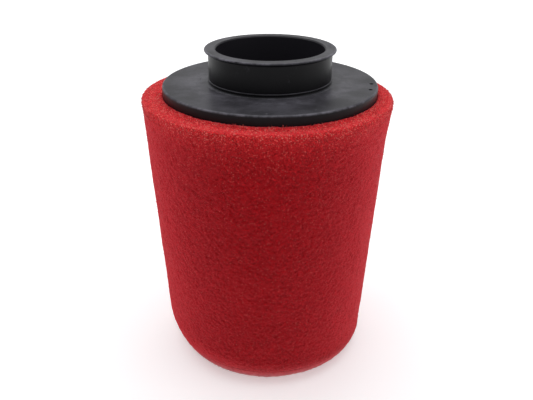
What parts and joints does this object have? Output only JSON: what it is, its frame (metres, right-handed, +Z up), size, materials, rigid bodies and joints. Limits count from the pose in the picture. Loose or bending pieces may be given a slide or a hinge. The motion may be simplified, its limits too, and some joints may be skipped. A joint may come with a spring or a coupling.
{
  "type": "air filter",
  "caption": "Tapered clamp-on foam air filter: black rubber neck and flange, wire cage, fine inner foam and a red coarse foam sock that pulls off.",
  "frame": {"origin": "centre of the closed foam end, which rests on z = 0", "axes": "+Z up along the neck axis, from the closed end to the open neck; the pictured side faces -Y; the moulding pits are on the +X side"},
  "size_m": [0.1324, 0.1324, 0.1785],
  "materials": {
    "rubber": "semi-gloss moulded black rubber",
    "cage_steel": "zinc-plated pressed steel",
    "cage_wire": "zinc-plated steel wire",
    "fine_foam": "fine open-cell black foam",
    "coarse_foam": "coarse open-cell red foam",
    "glue": "dried contact glue",
    "coarse_glue": "dried contact glue soaked into red foam"
  },
  "bodies": {
    "outer_sock": {"outer_foam_sleeve": "coarse_foam", "outer_foam_seam": "coarse_glue", "outer_foam_end": "coarse_foam", "outer_end_glue": "coarse_glue"},
    "filter_element": {"neck_flange": "rubber", "flange_glue": "glue", "cage_top_ring": "cage_steel", "cage_uprights": "cage_wire", "cage_hoop_1": "cage_wire", "cage_hoop_2": "cage_wire", "cage_hoop_3": "cage_wire", "cage_hoop_4": "cage_wire", "cage_hoop_5": "cage_wire", "cage_hoop_6": "cage_wire", "cage_hoop_7": "cage_wire", "cage_end_cup": "cage_steel", "fine_foam_sleeve": "fine_foam", "fine_foam_seam": "glue", "fine_foam_end": "fine_foam", "fine_end_glue": "glue"}
  },
  "joints": [
    {"name": "element_lift", "type": "slide", "parent": "outer_sock", "child": "filter_element", "axis": [0, 0, 1], "range_m": [0, 0.16]}
  ]
}
